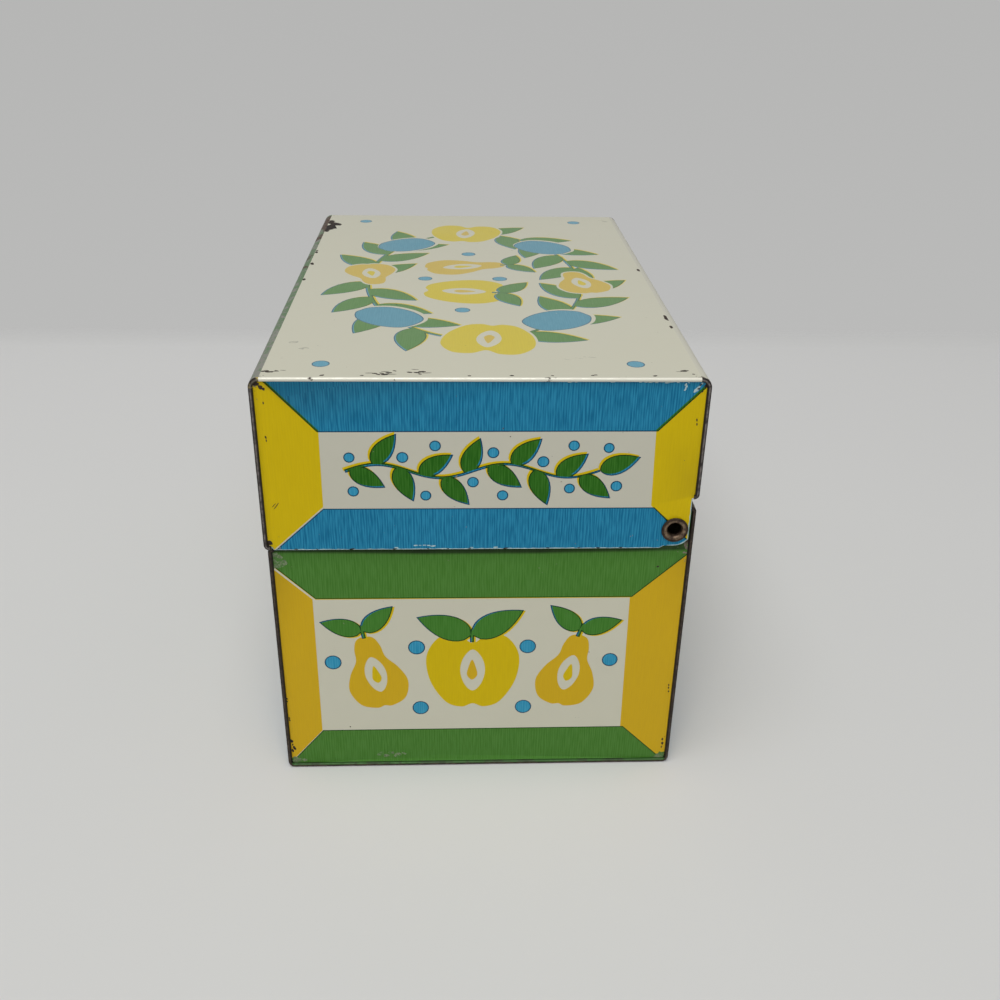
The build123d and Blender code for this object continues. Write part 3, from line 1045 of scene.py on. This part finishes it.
def on_seam(centre, normal, high, middle):
    """True on a seam's round crest and on its flank towards the end panel."""
    if abs(centre.x) > high.x - FOLD:
        return True
    return abs(centre.x) > high.x - RISE and (centre - middle).yz.dot(normal.yz) < 0


def lid_finish(centre, normal):
    if on_seam(centre, normal, lid_high, lid_middle):
        if centre.z < lid_high.z - SEAM_CORNER or centre.y > lid_high.y - SEAM_CORNER:
            return "side seams"
        return "corner seams" if centre.y < 2.25 - lid_high.y else "top seam"
    if (centre - lid_middle).yz.dot(normal.yz) <= 0:
        return "inside"
    if centre.z > lid_high.z - BEND:
        return "front bend" if centre.y < 0 else "cream"
    return "green"


def body_finish(centre, normal):
    if on_seam(centre, normal, body_high, body_middle):
        # Upward faces of the foot seam take the green seam finish, partly print and partly a painted
        # highlight.
        return "foot seam" if normal.z > 0.3 and centre.z < 1.2 else "side seams"
    if (centre - body_middle).yz.dot(normal.yz) <= 0:
        return "inside"
    if normal.z > 0.3 and centre.z > RIM:
        return "raw edge"
    return "inside" if normal.z < -0.9 and centre.z < 1 else "blue"


def end_finish(side, ink):
    def finish(centre, normal):
        if normal.x * side < -0.5:
            return "inside"
        return ink if normal.x * side > 0.5 else "raw edge"
    return finish


# Printed sides of a sheet: axis, whether it is the high side, whose inks, and the plates
sides = [(Z, True, "top", top_print()), (Y, False, "lid", lid_wall_print(57.6, 97.2, 11.5, 7.8))]
sides += [(Y, True, "lid", lid_wall_print(71.3, 96.3, 5.6, 6.2))]
printed_sheet("printed_lid_wrap", "lid_wrap", "lid", "lid", lid_finish, sides)
sides = [(Y, False, "body", body_wall_print(58.6)), (Y, True, "body", body_wall_print(68.0))]
printed_sheet("printed_body_wrap", "body_wrap", "body", "body", body_finish, sides)

ends = (("lid", "blue", lid_end_print()), ("body", "green", body_end_print()))
for side, way in (("right", 1), ("left", -1)):
    for part, ink, plates in ends:
        node = f"{part}_end_{side}"
        sides = [(X, way > 0, part, plates)]
        printed_sheet(f"printed_{node}", node, part, part, end_finish(way, ink), sides)


def eyelet_finish():
    """Tarnished brass, with painted shade on the head's outer rim where it meets the lid."""
    b = new_finish("tarnished eyelet")
    place = b.place()
    tarnish = b.noise(place, 900, detail=4, roughness=0.65)
    colour = b.tint(b.ramp(tarnish, 0.38, 0.62), (136, 116, 94), (74, 60, 52))
    low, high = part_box("hinge_eyelet_right")
    _, y, z = b.parts(b.vectors("SUBTRACT", place, (low + high) / 2))
    away = b.math("SQRT", b.plus(b.times(y, y), b.times(z, z)))
    # Painted shade towards the outer rim, broken up by the tarnish.
    rim_shade = b.plus(b.ramp(away, 2.05 * MM, 2.42 * MM), b.times(b.minus(tarnish, 0.5), 0.8))
    colour = b.tint(b.ramp(rim_shade, 0.2, 0.9, 0.0, 0.8), colour, (44, 33, 28))
    return shade(b, colour, b.ramp(tarnish, 0.3, 0.7, 0.32, 0.55), tarnish, 0.3, 0.04, 0.85)


EYELET = eyelet_finish()
HEAD, ROLL, BORE, WALL, FOOT = 0.42, 0.21, 1.45, 0.25, 2.5


def rolled_eyelet(side, way, count=56):
    """Tubular eyelet with rolled flanges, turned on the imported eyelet's axis."""
    node = f"hinge_eyelet_{side}"
    low, high, middle = limits(node)
    seat = (high.x if way > 0 else low.x) - way * HEAD
    depth = high.x - low.x - HEAD
    roll = (high.y - low.y) / 2 - ROLL
    section = []
    for a in range(-90, 91, 15):
        section.append((ROLL + ROLL * sin(radians(a)), roll + ROLL * cos(radians(a))))
    section += [(0.4, 2.4), (0.36, 2.2), (0.37, 2.02), (0.36, 1.88), (0.24, 1.72), (0.02, 1.58), (-0.3, BORE)]
    flange = [(0.36, BORE), (0.1, 1.56), (0.0, 1.8), (0.0, FOOT - 0.15), (0.12, FOOT), (0.28, FOOT - 0.04)]
    flange += [(0.36, FOOT - 0.3), (0.36, BORE + WALL)]
    section += [(u - depth, r) for u, r in flange] + [(0.0, BORE + WALL)]
    bm = bmesh.new()
    rings = []
    for k in range(count):
        c, s = cos(tau * k / count), sin(tau * k / count)
        ring = [Vector((seat + way * u, middle.y + r * c, middle.z + r * s)) * MM for u, r in section]
        rings.append([bm.verts.new(point) for point in ring])
    for one, other in zip(rings, rings[1:] + rings[:1]):
        for i in range(len(section)):
            j = (i + 1) % len(section)
            bm.faces.new((one[i], one[j], other[j], other[i]))
    bmesh.ops.recalc_face_normals(bm, faces=bm.faces)
    mesh = smooth_mesh(bm, f"rolled_eyelet_{side}", 50)
    mesh.materials.append(EYELET)
    made = stood(mesh.name, mesh)
    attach(made, "body")
    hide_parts(node)


for side, way in (("right", 1), ("left", -1)):
    rolled_eyelet(side, way)

# ---- floor, light and camera


def floor():
    """Pale table with a soft far edge, painted lighter towards the far end, where the lamps light it less."""
    far, near, wide = -252 * MM, 900 * MM, 900 * MM
    mesh = bpy.data.meshes.new("table")
    corners = [(far, -wide, 0), (near, -wide, 0), (near, wide, 0), (far, wide, 0)]
    mesh.from_pydata(corners, [], [(0, 1, 2, 3)])
    b = new_finish("pale table")
    place = b.place()
    along = b.parts(place)[0]
    colour = b.tint(b.ramp(b.noise(place, 6), 0.3, 0.7), (210, 210, 208), (207, 207, 205))
    # Painted light: the far part of the table is lighter, making up for the lamps' falloff.
    colour = b.tint(b.ramp(along, 0.25, -0.2), colour, (224, 224, 223))
    feed = {"Base Color": colour, "Roughness": 0.6, "Specular IOR Level": 0.2}
    table = b.out("BsdfPrincipled", feed)
    edge = b.ramp(along, far, far + 28 * MM)
    feed = {0: edge, 1: b.out("BsdfTransparent"), 2: table}
    b.put("OutputMaterial", {"Surface": b.out("MixShader", feed)})
    mesh.materials.append(b.owner)
    table = stood("table", mesh)
    table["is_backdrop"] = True


def softbox(name, place, strength):
    """Round soft light that faces the box."""
    light = bpy.data.lights.new(name, "AREA")
    light.shape, light.size, light.energy = "DISK", 0.9, strength
    made = stood(name, light)
    made.location = place
    made.rotation_euler = (Vector((0, 0, 0.05)) - Vector(place)).to_track_quat("-Z", "Y").to_euler()
    made.visible_camera = False


def room():
    """Plain soft light from all round, and the pale wall behind as the camera sees it."""
    bpy.context.scene.world = bpy.data.worlds.new("room")
    b = emptied(bpy.context.scene.world)
    seen = b.put("LightPath").outputs
    shown = b.math("MAXIMUM", seen["Is Glossy Ray"], seen["Is Transmission Ray"])
    shown = b.math("MAXIMUM", seen["Is Camera Ray"], shown)
    light = b.out("Background", {"Color": (1.0, 0.995, 0.985, 1), "Strength": 0.27})
    low = b.ramp(b.parts(b.put("TexCoord").outputs["Generated"])[2], -0.04, -0.32)
    wall = b.tint(low, (182, 182, 181), (187, 187, 186))
    wall = b.out("Background", {"Color": wall, "Strength": 1.0})
    b.put("OutputWorld", {0: b.out("MixShader", {0: shown, 1: light, 2: wall})})


def camera():
    """The photograph's view, computed for 1000 x 1000."""
    yaw, pitch, roll = (radians(a) for a in (-2.766, 27.552, 1.06))
    level = Vector((-sin(yaw), cos(yaw), 0))
    ahead = Vector((-cos(yaw) * cos(pitch), -sin(yaw) * cos(pitch), -sin(pitch)))
    upright = level.cross(ahead)
    right = cos(roll) * level + sin(roll) * upright
    up = cos(roll) * upright - sin(roll) * level
    data = bpy.data.cameras.new("photograph")
    data.sensor_width, data.lens = 36, 36 * 1.05229
    data.clip_start, data.clip_end = 0.01, 20
    made = stood("photograph", data)
    turn = Matrix((right, up, -ahead)).transposed()
    made.matrix_world = Matrix.Translation(Vector((257.19, -5.28, 168.6)) * MM) @ turn.to_4x4()
    bpy.context.scene.camera = made


floor()
room()
softbox("window", (0.95, -0.05, 0.95), 5.6)
softbox("ceiling", (0.38, -0.16, 1.25), 7.8)
camera()
bpy.context.scene.view_settings.view_transform = "Standard"

new_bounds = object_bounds()
sizes = {"cad": cad_bounds, "visual": new_bounds}
{name: [list(corner) for corner in box] for name, box in sizes.items()}
